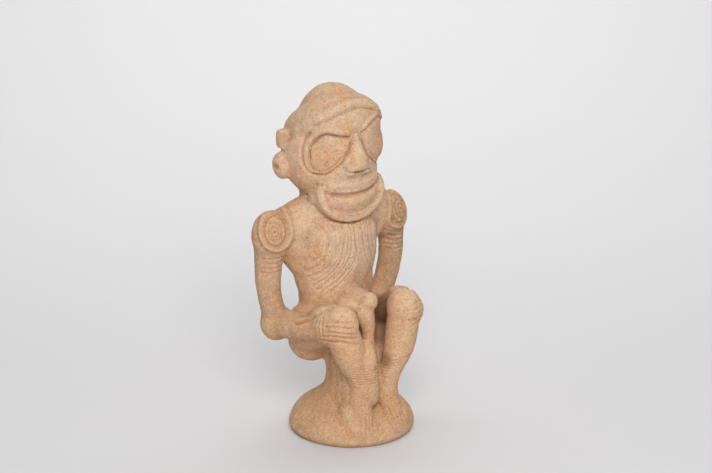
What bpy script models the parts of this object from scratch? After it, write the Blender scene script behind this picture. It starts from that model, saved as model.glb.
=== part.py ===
"""A squatting stone figure with its hands on its knees, carved in one piece with its round foot.

The figure looks along -Y, +Z is up, and the origin is the centre of the underside.
Its forms are laid out on a canon of 360 parts to the figure's height. Places and sizes
of the masses and of the carved lines are in those parts, and angles are in degrees.
"""

import math

import bmesh
import bpy
import numpy as np
from mathutils import Euler, Matrix, Vector

# Driving dimensions, in metres.
HEIGHT = 0.360  # underside to crown
FOOT_RADIUS = 0.067  # widest part of the round foot, before its edge is worn
RIM_HEIGHT = 0.010  # height of that widest part
BEARING_RADIUS = 0.060  # flat underside
SAWN_OFF = 0.010  # worked below the ground, then cut off flat

# How finely the stone is worked, in metres.
VOXEL = 0.0020
SOFTENING = 0.0052  # how far the edges between the fused masses are worn down
TRIANGLES = 9300

PART = HEIGHT / 360
SIDES = {"right": -1, "left": 1}  # the figure's own right is at -X
KNEE_RISE = 4.5  # the left knee is this much higher than the right one

# Radius and height of the foot's flare, from its neck down to its rim.
FLARE = [(24, 62), (27, 52), (30, 44), (42, 34.5), (55, 26), (63, 17)]


def vec(values):
    return Vector(values) * PART


def frame_at(centre, turn=(0, 0, 0), parent=Matrix()):
    """A frame at this centre, turned about X, Y and Z; its -Y looks out of the stone."""
    rotation = Euler([math.radians(angle) for angle in turn]).to_matrix().to_4x4()
    return parent @ Matrix.Translation(vec(centre)) @ rotation


HEAD = frame_at((1, 38, 286), (-5, -4, -2))


def add_ellipsoid(block, centre, radii, turn=(0, 0, 0), parent=Matrix()):
    """Adds an ellipsoid with these half-axes."""
    matrix = frame_at(centre, turn, parent) @ Matrix.Diagonal((*vec(radii), 1))
    ball = bmesh.new()
    bmesh.ops.create_uvsphere(ball, u_segments=36, v_segments=24, radius=1, matrix=matrix)
    mesh = bpy.data.meshes.new("ball")
    ball.to_mesh(mesh)
    ball.free()
    block.from_mesh(mesh)
    bpy.data.meshes.remove(mesh)


def add_object(block, data, frame=Matrix()):
    """Adds the evaluated mesh of a curve or mesh block, then removes that block's object."""
    shape = bpy.data.objects.new("shape", data)
    bpy.context.collection.objects.link(shape)
    if isinstance(data, bpy.types.Mesh):
        screw = shape.modifiers.new("turn", "SCREW")
        screw.steps = screw.render_steps = 72
        screw.use_merge_vertices = True
        screw.merge_threshold = 0.0001
    graph = bpy.context.evaluated_depsgraph_get()
    mesh = bpy.data.meshes.new_from_object(shape.evaluated_get(graph))
    mesh.transform(frame)
    block.from_mesh(mesh)
    bpy.data.objects.remove(shape)
    bpy.data.meshes.remove(mesh)


def add_limb(block, path, radii, parent=Matrix(), squash=(1, 1, 1)):
    """Adds a limb that passes through the path's points with a radius at each."""
    curve = bpy.data.curves.new("limb", "CURVE")
    curve.dimensions = "3D"
    curve.bevel_depth = PART
    curve.bevel_resolution = 6
    curve.resolution_u = 8
    curve.use_fill_caps = True
    spline = curve.splines.new("BEZIER")
    spline.bezier_points.add(len(path) - 1)
    spline.radius_interpolation = "CARDINAL"
    for point, place, radius in zip(spline.bezier_points, path, radii):
        point.co = vec(place)
        point.radius = radius
        point.handle_left_type = point.handle_right_type = "AUTO"
    add_object(block, curve, parent @ Matrix.Diagonal((*squash, 1)))


def add_foot(block):
    """Adds the round foot, a domed flare over a rounded rim, turned about the Z axis."""
    profile = [(0, FLARE[0][1] * PART)]
    profile += [(radius * PART, height * PART) for radius, height in FLARE]
    rim_steps = 6
    for step in range(1, rim_steps + 1):
        angle = math.pi / 2 * step / rim_steps
        profile.append((
            BEARING_RADIUS + (FOOT_RADIUS - BEARING_RADIUS) * math.cos(angle),
            RIM_HEIGHT * (1 - math.sin(angle)),
        ))
    profile += [(BEARING_RADIUS, -SAWN_OFF), (0, -SAWN_OFF)]
    mesh = bpy.data.meshes.new("foot")
    edges = [(i, i + 1) for i in range(len(profile) - 1)]
    mesh.from_pydata([(r, 0, z) for r, z in profile], edges, [])
    add_object(block, mesh)


def add_trunk(block):
    add_limb(block, [(0, 4, 30), (0, 3, 66), (0, 18, 104)], [31, 28.5, 32], squash=(0.86, 1, 1))  # column
    pillar = [(0, -22, 28), (0, -27, 54), (0, -28, 86), (1, -28, 106), (1, -27, 118), (-2, -25, 132), (-2, -23, 142)]
    add_limb(block, pillar, [17, 15, 11, 7, 8.5, 11, 9])
    add_ellipsoid(block, (0, 14, 108), (37, 27, 25))  # back wall of the hollow between the thighs
    shin_web = [(-7, -37, 42), (-10, -41, 66), (-12, -42, 84), (-13, -41, 94), (-9, -35, 106)]
    add_limb(block, shin_web, [14, 12.5, 12.5, 11.5, 8])
    web = [(-17, -18, 34), (-18, -22, 56), (-19, -16, 82), (-22, -8, 104), (-26, 6, 122)]
    add_limb(block, web, [15, 13, 12, 12, 11])
    add_limb(block, [(-20, -30, 30), (-22, -31, 56), (-26, -30, 80)], [12, 9.5, 7])
    add_limb(block, [(14, -18, 34), (16, -25, 54), (18, -14, 74), (18, 0, 96)], [15, 13.5, 11, 11])
    add_limb(block, [(22, -8, 74), (31, -2, 92), (36, 6, 112)], [11, 13, 12.5])  # web behind the left shin
    for s in SIDES.values():
        add_ellipsoid(block, (s * 21, 41, 98), (24, 27, 28))  # buttock
        add_ellipsoid(block, (s * 23.5, 42, 86), (22.5, 26, 20.5))
        add_ellipsoid(block, (s * 28, 34, 109), (26, 25, 20))  # hip
    add_limb(block, [(-58, 37, 220), (-47, 37, 200), (-28, 36, 168)], [21, 21, 18])  # flanks
    add_limb(block, [(60, 37, 221), (47, 37, 209), (30, 36, 184)], [20, 20, 16])
    trunk = [(1, 36, 84), (1, 35, 102), (2, 34, 130), (2, 33, 147), (0, 33, 162), (0, 33, 177), (0, 34, 195), (0, 35, 214), (0, 36, 236)]
    for s in SIDES.values():
        add_ellipsoid(block, (s * 25, 60, 204), (19, 13, 27), (0, s * 12, 0))  # shoulder blade
    add_limb(block, trunk, [24, 33, 34, 35.5, 37.5, 40.5, 41, 39.5, 26], squash=(1.18, 1, 1))
    add_ellipsoid(block, (0, 12, 132), (30, 26, 17), (-6, 0, 0))  # lap
    add_ellipsoid(block, (-11, -13, 140), (13, 15, 8.5))
    yoke = [(-71, 38, 212), (-38, 35, 220), (0, 36, 228), (38, 37, 226), (70, 38, 213)]
    add_limb(block, yoke, [20, 24, 26, 25, 20])
    add_ellipsoid(block, (-72, 37, 210), (22, 21, 26))  # shoulders
    add_ellipsoid(block, (72, 38, 211), (21, 21, 25))
    add_limb(block, [(0, 38, 225), (1, 38, 262)], [32, 34])  # neck
    add_limb(block, [(0, 10, 138), (0, -12, 143), (1, -26, 144)], [15, 12, 9])
    add_ellipsoid(block, (2, -29, 144), (9, 9.5, 10))


def add_limbs(block, side):
    s = SIDES[side]
    rise = KNEE_RISE if side == "left" else 0
    out = 40 if side == "right" else 38
    spread, slender = (0, 0) if side == "right" else (6, 3)  # the left thigh clears the slot beside the shaft
    thigh = [(s * 26, 36, 104), (s * (32 + spread), 8, 115 + rise / 2), (s * (out + spread), -26, 127 + rise / 2)]
    add_limb(block, thigh, [29, 25 - 2 * slender, 20 - 2 * slender])
    add_ellipsoid(block, (s * out, -40, 129 + rise), (17.5 + slender / 3, 19, 21.5))  # knee
    shin = [(s * out, -40, 124 + rise), (s * 31, -42, 97), (s * 18, -42, 62), (s * 17, -41, 42), (s * 19, -48, 24)]
    add_limb(block, shin, [17.5, 16.5, 11, 12, 11])
    add_ellipsoid(block, (s * 20, -41, 26), (19, 13, 25), (-46, 0, 0))  # foot on the flare
    arm_radii = [16, 13, 13] if side == "right" else [14.5, 13, 12.5]
    out = 75 if side == "right" else 78
    arm = [(s * out, 38, 200), (s * out, 41, 155), (s * 65, 44, 114)]
    add_limb(block, arm, arm_radii)
    add_ellipsoid(block, (s * 66, 42, 115), (17, 17, 19.5))  # elbow
    forearm = [(s * 63, 40, 115), (s * 58, 12, 117), (s * 47, -26, 124 + rise / 2)]
    add_limb(block, forearm, [16, 14, 13])
    add_ellipsoid(block, (s * (45 + spread / 2), -26, 126 + rise), (17 - slender, 30, 20))  # hand over the knee


def add_head(block):
    add_ellipsoid(block, (-1, 1, 0), (51.5, 47, 47), parent=HEAD)
    add_ellipsoid(block, (6, -2, 27), (38, 41, 45), parent=HEAD)
    add_ellipsoid(block, (2.5, -16, 34), (46, 40, 30), parent=HEAD)  # brow
    add_ellipsoid(block, (1.5, -10, 10), (50.5, 42, 40), parent=HEAD)
    for s in SIDES.values():
        add_ellipsoid(block, (s * 14, 6, 26), (31, 31, 25), parent=HEAD)  # temple
        add_limb(block, [(s * 22, 4, 33), (s * 22, -14, 31)], [23, 24], parent=HEAD)
    face = [(0, -20, -30), (0, -24, 5), (1, -26, 34)]
    add_limb(block, face, [26, 28, 29], parent=HEAD, squash=(1.4, 1, 1))
    add_ellipsoid(block, (0, -19, -39), (41, 28, 29), parent=HEAD)  # muzzle
    add_limb(block, [(0, -47, 24), (0, -52, -5), (0, -51, -11)], [4.5, 6.5, 8.5], parent=HEAD)  # nose
    for s in SIDES.values():
        add_ellipsoid(block, (s * 8.5, -50, -12), (6, 6.5, 6), parent=HEAD)  # nostril
        add_ellipsoid(block, (s * 48, 11, 21), (7.5, 11, 13), parent=HEAD)  # ear
        add_ellipsoid(block, (s * 52, 11, -4), (10, 13, 14.5), parent=HEAD)  # ear spool


def fused(block):
    """Fuses the overlapping masses into one skin and wears its creases down."""
    mesh = bpy.data.meshes.new("block")
    block.to_mesh(mesh)
    block.free()
    stone = bpy.data.objects.new("block", mesh)
    bpy.context.collection.objects.link(stone)
    remesh = stone.modifiers.new("fuse", "REMESH")
    remesh.mode = "VOXEL"
    remesh.voxel_size = VOXEL
    smooth = stone.modifiers.new("wear", "SMOOTH")
    smooth.factor = 0.5
    smooth.iterations = round(2 * (SOFTENING / VOXEL) ** 2)
    graph = bpy.context.evaluated_depsgraph_get()
    skin = bpy.data.meshes.new_from_object(stone.evaluated_get(graph))
    bpy.data.objects.remove(stone)
    return skin


def softened(path, closed, steps=8):
    """A smooth line through the path's points."""
    points = np.array(path, dtype=float)
    if closed:
        points = np.vstack([points[-1:], points, points[:2]])
    else:
        points = np.vstack([2 * points[0] - points[1], points, 2 * points[-1] - points[-2]])
    t = np.linspace(0, 1, steps, endpoint=False)[:, None]
    pieces = []
    for a, b, c, d in zip(points, points[1:], points[2:], points[3:]):
        pieces.append(0.5 * (2 * b + (c - a) * t + (2 * a - 5 * b + 4 * c - d) * t**2 + (3 * b - a - 3 * c + d) * t**3))
    pieces.append(points[-2][None])
    return np.vstack(pieces)


def distances(places, line):
    """How far each place is from the line, and whether it is inside it."""
    nearest = np.full(len(places), np.inf)
    inside = np.zeros(len(places), dtype=bool)
    x, z = places.T
    for (x0, z0), (x1, z1) in zip(line, line[1:]):
        dx, dz = x1 - x0, z1 - z0
        share = np.clip(((x - x0) * dx + (z - z0) * dz) / max(dx * dx + dz * dz, 1e-9), 0, 1)
        nearest = np.minimum(nearest, np.hypot(x - x0 - share * dx, z - z0 - share * dz))
        if z0 != z1:
            inside ^= ((z0 > z) != (z1 > z)) & (x < x0 + (z - z0) * dx / (z1 - z0))
    return nearest, inside


def carve(skin, frame, path, profile, closed=False, reach=(-60, 60), facing=0.25):
    """Moves the skin along its normals by the profile's height at each distance from a path.

    The path is drawn in the frame's XZ plane. Inside a closed path distances are negative.
    Reach is the span of the frame's Y in which the skin is carved, and facing is how much
    the skin has to face the frame's -Y side; None carves it on every side.
    """
    inverse = np.array(frame.inverted())
    local = (skin["places"] @ inverse[:3, :3].T + inverse[:3, 3]) / PART
    near = (local[:, 1] > reach[0]) & (local[:, 1] < reach[1])
    margin = max(abs(profile[0][0]), abs(profile[-1][0]))
    line = softened(path, closed)
    near &= (local[:, 0] > line[:, 0].min() - margin) & (local[:, 0] < line[:, 0].max() + margin)
    near &= (local[:, 2] > line[:, 1].min() - margin) & (local[:, 2] < line[:, 1].max() + margin)
    away, inside = distances(local[near][:, [0, 2]], line)
    if closed:
        away = np.where(inside, -away, away)
    height = np.interp(away, [d for d, h in profile], [h for d, h in profile])
    normals = skin["normals"][near]
    if facing is not None:
        outward = -(normals @ inverse[:3, :3].T)[:, 1]
        height = height * np.clip((outward - facing) / 0.25 + 0.5, 0, 1)
    skin["places"][near] += normals * (height * PART)[:, None]


def groove(width, depth):
    return [(-width, 0), (-width * 0.4, -depth * 0.75), (0, -depth), (width * 0.4, -depth * 0.75), (width, 0)]


def ridge(width, height):
    return groove(width, -height)


def mirrored(path, side):
    return [(-SIDES[side] * x, z) for x, z in path]


# Half width, half height and depth of each ring round the shoulder; the rim stands out.
DISC_RINGS = [(15.5, 20, -1.4), (11.5, 15.5, 1.7), (7.7, 10, 1.2), (4, 5.4, 1)]

# Carved lines, drawn on the right half in the frames named for them.
EYE_LIDS = {
    "right": [(19, 22.5), (11, 24), (4, 26.5), (-2, 28), (-9, 26.5), (-15, 22.5), (-20, 18), (-22, 12), (-23, 4)],
    "left": [(21, 25), (14, 29.5), (5, 33), (-5, 35.5), (-14, 33), (-20, 27), (-23, 18), (-24, 10), (-24, 4)],
}
UNDER_EYE = [(-24, -5), (-20.5, -11.5), (-12.5, -13), (-4, -11), (5, -6), (11, -1.5), (15, 4), (18, 10), (20, 16)]
EYE_RIM = [(-20, 30), (-26.5, 22.5), (-29.5, 14), (-30, 5), (-28.5, -3), (-24, -10), (-17, -12.5)]
EYE_HEIGHTS = [(-14, 1.6), (-9, 1.2), (-5, 0.6), (-2, -0.4), (0, -0.7), (2, 0)]
NOSE = [(0, 25), (-5, 17), (-9, 8), (-13, 0), (-14.5, -7), (-12, -11.5), (0, -12.5), (12, -11.5), (14.5, -7), (13, 0),
        (9, 8), (5, 17)]
NOSE_HEIGHTS = [(-12, 5), (-6, 3), (-2, 1.4), (0, 0), (1, -0.7), (2.6, 0)]
LIP_LINE = [(-32, -30), (-26, -31.5), (-13, -34), (0, -34.5), (13, -34), (26, -31.5), (32, -30)]
MOUTH = LIP_LINE + [(32.5, -38), (30, -46), (23, -52.5), (12, -57.5), (0, -59.5), (-12, -57.5), (-23, -52.5), (-30, -46), (-32.5, -38)]
MOUTH_HEIGHTS = [(-12, -1.2), (-6, -2), (-2, -2.3), (-0.7, -1.6), (0.6, 0)]
RING = [(-34, -27), (-36, -37), (-33.5, -46), (-27, -54), (-20, -59), (-10, -62.5), (0, -64)]
RING += [(-x, z) for x, z in RING[-2::-1]]
CHIN = [(-38.5, -44), (-36.5, -49), (-30, -56.5), (-22, -62.5), (-10, -66.5), (0, -68)]
CHIN += [(-x, z) for x, z in CHIN[-2::-1]]
BAND_LOWER = [(-37, 38), (-32, 40.5), (-20, 45), (-8, 48.5), (4, 50), (15, 48.5), (28, 44), (40, 37)]
BAND_UPPER = [(-24, 54), (-12, 57.5), (2, 59.5), (13, 59), (24, 57), (34, 52)]
BAND = [(-32, 45), (-20, 50), (-8, 53.5), (4, 55), (15, 54), (28, 50), (40, 43)]
RIBS = [
    [(-32, 221), (-28.5, 214), (-27, 205), (-28, 198), (-30, 191), (-32, 185), (-36, 180.5), (-43, 172)],
    [(-21.5, 221), (-20, 214), (-20.5, 206), (-21, 197), (-23, 188), (-27, 180), (-32, 174), (-41, 166)],
    [(-12, 219), (-11, 209), (-13, 197), (-15, 188), (-18.5, 179), (-24, 171), (-30, 164), (-37, 156)],
    [(-3, 215), (-3, 204), (-4, 195), (-7, 185), (-11.5, 177), (-17.5, 170), (-24, 164), (-34, 152)],
    [(1, 187), (-3, 178), (-8.5, 172), (-14, 166), (-21, 159), (-29, 152)],
]
CREASE = [(-24, -2), (-15.5, -1), (-8.5, 1), (-1.5, 4), (6, 8.5), (15.5, 10.5), (22, 11.5)]
FINGERS = [
    [(-15, 7.5), (0, 10), (13, 9.5)],
    [(-14, 3.5), (0, 5.5), (14, 3.5)],
    [(-15, -2), (-4, -0.5), (15, -3)],
    [(-16, -7), (-4, -5), (17, -8.5)],
    [(-21, -13), (-10, -11.5), (3, -11), (19, -14.5)],
]


def carve_eye(skin, side):
    """Cuts an eye with its lid line above, a rim round its outer side and the brow over it."""
    frame = frame_at((0, 0, 0), (0, 0, SIDES[side] * 30), HEAD)
    span = {"reach": (-75, -20), "facing": 0.1}
    lid = EYE_LIDS[side]
    carve(skin, frame, mirrored(lid + UNDER_EYE, side), EYE_HEIGHTS, closed=True, **span)
    carve(skin, frame, mirrored(lid, side), groove(2.2, 2.6 if side == "right" else 1.1), **span)
    carve(skin, frame, mirrored(UNDER_EYE[1:], side), groove(2, 2), **span)
    carve(skin, frame, mirrored(EYE_RIM, side), groove(2.6, 1.3), **span)
    carve(skin, frame, mirrored([(x - 1, z + 5) for x, z in lid[:7]], side), ridge(5, 1.4), **span)


def carve_face(skin):
    carve(skin, HEAD, BAND, ridge(6, 1), reach=(-70, -10))
    carve(skin, HEAD, BAND_LOWER, groove(2.8, 1.5), reach=(-70, 5))
    carve(skin, HEAD, BAND_UPPER, groove(2.8, 1.1), reach=(-70, 5))
    for side in SIDES:
        carve_eye(skin, side)
    carve(skin, HEAD, NOSE, NOSE_HEIGHTS, closed=True, reach=(-75, -20), facing=0)
    carve(skin, HEAD, [(-12, -13.5), (0, -14), (12, -13.5)], groove(2.2, 1.8), reach=(-75, -20), facing=0)
    carve(skin, HEAD, [(-27, -25), (0, -27), (27, -25)], ridge(8, 1.6), reach=(-70, -5), facing=0.1)
    carve(skin, HEAD, MOUTH, MOUTH_HEIGHTS, closed=True, reach=(-70, -5), facing=0)
    carve(skin, HEAD, [(x, z - 3) for x, z in LIP_LINE[1:-1]], groove(4, 2.6), reach=(-70, -5), facing=0)
    carve(skin, HEAD, CHIN, groove(3, 1.8), reach=(-70, -5), facing=-0.3)
    carve(skin, HEAD, RING, ridge(4.2, 3), reach=(-70, -5), facing=-0.1)


def carve_side(skin, side):
    s = SIDES[side]
    rise = KNEE_RISE if side == "left" else 0
    disc = frame_at((s * 75, 25, 219), (0, s * 14, s * 40))
    for wide, tall, depth in DISC_RINGS:
        ring = [(wide * math.cos(a), tall * math.sin(a)) for a in np.linspace(0, 2 * math.pi, 12, False)]
        carve(skin, disc, ring, groove(2.6, depth), closed=True, reach=(-25, 22), facing=0.1)
    ribs, depth = (RIBS, 1.4) if side == "right" else (RIBS[:3], 0.6)  # the left ones are worn
    for rib in ribs:
        carve(skin, Matrix(), mirrored(rib, side), groove(2.4, depth), reach=(-20, 34), facing=0.1)
    knee = frame_at((s * 48, -48, 128 + rise), (0, 0, s * 40))
    line = groove(1.9, 1.4 if side == "right" else 0.7)
    for finger in FINGERS:
        carve(skin, knee, mirrored(finger, side), line, reach=(-20, 22))
    carve(skin, knee, [(s * 17, 11), (s * 18, 1), (s * 17, -8)], line, reach=(-20, 22))
    spool = frame_at((s * 62, 11, -4), (0, 0, s * 90), HEAD)
    carve(skin, spool, [(-3, 0), (0, 0), (3, 0)], groove(5, 2.6), reach=(-20, 14))
    lap = frame_at((s * 50, -15, 130), (-30, 0, s * 35))
    carve(skin, lap, mirrored(CREASE, side), groove(3.4, 2.2), reach=(-40, 30), facing=-0.3)
    for toe in range(5):
        x = s * (5 + 5 * toe)
        carve(skin, Matrix(), [(x, 34), (x + s * 2, 26), (x + s * 4, 16)], groove(2, 1), reach=(-70, -38), facing=0.1)


def carve_middle(skin):
    carve(skin, Matrix(), [(1, 216), (1.5, 203), (2.5, 192)], groove(2, 1.3), reach=(-20, 10))
    back = frame_at((0, 0, 0), (0, 0, 180))
    carve(skin, back, [(0, 222), (0, 165), (0, 112)], groove(8, 2), reach=(-90, -30))
    carve(skin, frame_at((0, 0, 0), (0, 0, 180), HEAD), [(-44, 30), (-24, 34), (0, 35), (24, 34), (44, 30)],
          groove(3.4, 1.8), reach=(-70, -4))


def carved(mesh):
    """Cuts the face, joints, ribs, hands and toes into the skin."""
    count = len(mesh.vertices)
    places = np.empty(count * 3)
    normals = np.empty(count * 3)
    mesh.vertices.foreach_get("co", places)
    mesh.vertices.foreach_get("normal", normals)
    skin = {"places": places.reshape(-1, 3), "normals": normals.reshape(-1, 3)}
    carve_face(skin)
    for side in SIDES:
        carve_side(skin, side)
    carve_middle(skin)
    mesh.vertices.foreach_set("co", skin["places"].ravel())
    mesh.update()


def reduced(mesh):
    """Thins the skin out to its triangle budget, keeping most of them on the face."""
    stone = bpy.data.objects.new("stone", mesh)
    bpy.context.collection.objects.link(stone)
    triangles = 2 * len(mesh.polygons)
    thin = stone.modifiers.new("thin", "DECIMATE")
    thin.ratio = TRIANGLES / triangles
    thin.use_collapse_triangulate = True
    graph = bpy.context.evaluated_depsgraph_get()
    result = bpy.data.meshes.new_from_object(stone.evaluated_get(graph))
    bpy.data.objects.remove(stone)
    return result


def sawn_flat(mesh):
    """Cuts the underside off flat at the ground and trues the crown to the height."""
    ground = bmesh.new()
    ground.from_mesh(mesh)
    for vertex in ground.verts:
        if abs(vertex.co.z) < VOXEL / 8:
            vertex.co.z = 0
    everything = ground.verts[:] + ground.edges[:] + ground.faces[:]
    cut = bmesh.ops.bisect_plane(ground, geom=everything, plane_co=(0, 0, 0), plane_no=(0, 0, -1), clear_outer=True)
    rim = [item for item in cut["geom_cut"] if isinstance(item, bmesh.types.BMEdge)]
    bmesh.ops.contextual_create(ground, geom=rim)
    bmesh.ops.recalc_face_normals(ground, faces=ground.faces[:])
    crown = max(vertex.co.z for vertex in ground.verts)
    for vertex in ground.verts:
        vertex.co.z *= HEIGHT / crown
    ground.to_mesh(mesh)
    ground.free()


def stone_material():
    stone = bpy.data.materials.new("zemi_figure_sandstone")
    stone.use_nodes = True
    surface = stone.node_tree.nodes["Principled BSDF"]
    surface.inputs["Base Color"].default_value = (0.55, 0.36, 0.22, 1)
    surface.inputs["Roughness"].default_value = 0.9
    return stone


def main():
    for old in list(bpy.data.objects):
        bpy.data.objects.remove(old)
    block = bmesh.new()
    add_foot(block)
    add_trunk(block)
    for side in SIDES:
        add_limbs(block, side)
    add_head(block)
    skin = fused(block)
    carved(skin)
    skin = reduced(skin)
    sawn_flat(skin)
    skin.materials.append(stone_material())
    figure = bpy.data.objects.new("zemi_figure", skin)
    collection = bpy.data.collections.new("zemi_figure")
    bpy.context.scene.collection.children.link(collection)
    collection.objects.link(figure)


main()
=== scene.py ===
"""The zemi figure as seen: finely carved sandstone on a pale studio sweep.

The figure is laid out as in its solid, on a canon of 360 parts to its height, and is carved
finer. Places and sizes of masses and carved lines are in those parts, angles in degrees.
"""

import math

import bmesh
import bpy
import numpy as np
from mathutils import Euler, Matrix, Vector, noise


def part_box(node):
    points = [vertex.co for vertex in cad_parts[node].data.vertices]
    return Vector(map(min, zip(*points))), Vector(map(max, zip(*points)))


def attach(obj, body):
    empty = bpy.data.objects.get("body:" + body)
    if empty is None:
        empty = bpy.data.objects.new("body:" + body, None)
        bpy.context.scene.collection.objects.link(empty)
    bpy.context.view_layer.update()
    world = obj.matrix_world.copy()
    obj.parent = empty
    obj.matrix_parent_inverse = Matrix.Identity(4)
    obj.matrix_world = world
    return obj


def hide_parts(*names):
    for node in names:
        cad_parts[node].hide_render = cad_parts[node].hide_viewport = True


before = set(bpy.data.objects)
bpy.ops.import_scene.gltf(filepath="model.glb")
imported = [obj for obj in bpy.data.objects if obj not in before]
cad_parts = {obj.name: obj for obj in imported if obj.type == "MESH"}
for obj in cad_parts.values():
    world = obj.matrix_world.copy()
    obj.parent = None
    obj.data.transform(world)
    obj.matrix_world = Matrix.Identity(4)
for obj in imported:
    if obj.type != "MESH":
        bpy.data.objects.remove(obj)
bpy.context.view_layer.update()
node_low, node_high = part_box("zemi_figure")

# Camera, in metres and degrees: where it stands round the figure and how far away.
AZIMUTH = -35
ELEVATION = 16
DISTANCE = 1.6
AIM = (0.0037, -0.0026, 0.2068)
LENS_MM = 79.12
SENSOR_MM = 36

# Studio. A soft box has a name, its place and aim as the camera sees them (right, away and up),
# its size and its watts.
SWEEP_COLOUR = (0.65, 0.637, 0.64)
SWEEP_ROUGHNESS = 0.9
SWEEP_HALF_WIDTH = 4.0
SWEEP_FRONT = 2.5
SWEEP_BACK = 1.1  # how far behind the figure the floor starts to curve up
SWEEP_BEND = 0.9
SWEEP_TOP = 3.0
WORLD_COLOUR = (0.93, 0.965, 1.0)
WORLD_STRENGTH = 0.38
SOFT_BOXES = [
    ("key", (0.1, -1.4, 1.1), (0, 0, 0.18), (0.8, 0.8), 22),
    ("top", (0.0, -0.1, 1.9), (0, 0, 0.18), (1.4, 1.4), 2.2),
    ("backdrop", (0.0, 0.9, 1.7), (0, 2.1, 0.0), (2.6, 0.8), 27),
]

# The stone's own sizes, in metres.
HEIGHT = node_high[2]
FOOT_RADIUS = 0.067  # before its edge is worn
RIM_HEIGHT = 0.010
BEARING_RADIUS = 0.060
SAWN_OFF = 0.010  # how far the stone goes on below the ground before it is sawn flat
VOXEL = 0.0010
SOFTENING = 0.0052  # how far round a crease the stone is worn

TRIANGLES = 190000
SHARPNESS = 1.25  # how much narrower and deeper than in the solid a line is cut
LEVELLING_ROUNDS = 24  # how far round a point its surroundings are averaged
WAVES = [(45, 0.55), (140, 0.28), (420, 0.13)]  # the unevenness: waves a metre, height in parts

PART = HEIGHT / 360
SIDES = {"right": -1, "left": 1}  # the figure's own right is at -X

# What differs between the two sides of the body.
KNEE_RISE = {"right": 0, "left": 4.5}
KNEE_OUT = {"right": 40, "left": 38}
THIGH_SPREAD = {"right": 0, "left": 6}  # the left thigh clears the slot beside the shaft
THIGH_SLENDER = {"right": 0, "left": 3}
ARM_OUT = {"right": 75, "left": 78}
ARM_RADII = {"right": [16, 13, 13], "left": [14.5, 13, 12.5]}

# Radius and height of the foot's flare, from its neck down to its rim.
FLARE = [(24, 62), (27, 52), (30, 44), (42, 34.5), (55, 26), (63, 17)]


def vec(values):
    return Vector(values) * PART


def frame_at(centre, turn=(0, 0, 0), parent=Matrix()):
    """A frame at this centre, turned about X, Y and Z; its -Y looks out of the stone."""
    rotation = Euler([math.radians(angle) for angle in turn]).to_matrix().to_4x4()
    return parent @ Matrix.Translation(vec(centre)) @ rotation


HEAD = frame_at((1, 38, 286), (-5, -4, -2))


def add_ellipsoid(block, centre, radii, turn=(0, 0, 0), parent=Matrix()):
    """Adds an ellipsoid with these half-axes."""
    matrix = frame_at(centre, turn, parent) @ Matrix.Diagonal((*vec(radii), 1))
    ball = bmesh.new()
    bmesh.ops.create_uvsphere(ball, u_segments=36, v_segments=24, radius=1, matrix=matrix)
    mesh = bpy.data.meshes.new("ball")
    ball.to_mesh(mesh)
    ball.free()
    block.from_mesh(mesh)
    bpy.data.meshes.remove(mesh)


def add_object(block, data, frame=Matrix()):
    """Adds a curve, or a profile turned about the Z axis, and removes the object made for it."""
    shape = bpy.data.objects.new("shape", data)
    bpy.context.collection.objects.link(shape)
    if isinstance(data, bpy.types.Mesh):
        screw = shape.modifiers.new("turn", "SCREW")
        screw.steps = screw.render_steps = 72
        screw.use_merge_vertices = True
        screw.merge_threshold = 0.0001
    graph = bpy.context.evaluated_depsgraph_get()
    mesh = bpy.data.meshes.new_from_object(shape.evaluated_get(graph))
    mesh.transform(frame)
    block.from_mesh(mesh)
    bpy.data.objects.remove(shape)
    bpy.data.meshes.remove(mesh)


def add_limb(block, path, radii, parent=Matrix(), squash=(1, 1, 1)):
    """Adds a limb that passes through the path's points with a radius at each."""
    curve = bpy.data.curves.new("limb", "CURVE")
    curve.dimensions = "3D"
    curve.bevel_depth = PART
    curve.bevel_resolution = 6
    curve.resolution_u = 8
    curve.use_fill_caps = True
    spline = curve.splines.new("BEZIER")
    spline.bezier_points.add(len(path) - 1)
    spline.radius_interpolation = "CARDINAL"
    for point, place, radius in zip(spline.bezier_points, path, radii):
        point.co = vec(place)
        point.radius = radius
        point.handle_left_type = point.handle_right_type = "AUTO"
    add_object(block, curve, parent @ Matrix.Diagonal((*squash, 1)))


def add_foot(block):
    """Adds the round foot, a domed flare over a rounded rim, turned about the Z axis."""
    profile = [(0, FLARE[0][1] * PART)]
    profile += [(radius * PART, height * PART) for radius, height in FLARE]
    rim_steps = 6
    for step in range(1, rim_steps + 1):
        angle = math.pi / 2 * step / rim_steps
        profile.append((
            BEARING_RADIUS + (FOOT_RADIUS - BEARING_RADIUS) * math.cos(angle),
            RIM_HEIGHT * (1 - math.sin(angle)),
        ))
    profile += [(BEARING_RADIUS, -SAWN_OFF), (0, -SAWN_OFF)]
    mesh = bpy.data.meshes.new("foot")
    edges = [(i, i + 1) for i in range(len(profile) - 1)]
    mesh.from_pydata([(r, 0, z) for r, z in profile], edges, [])
    add_object(block, mesh)


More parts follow.
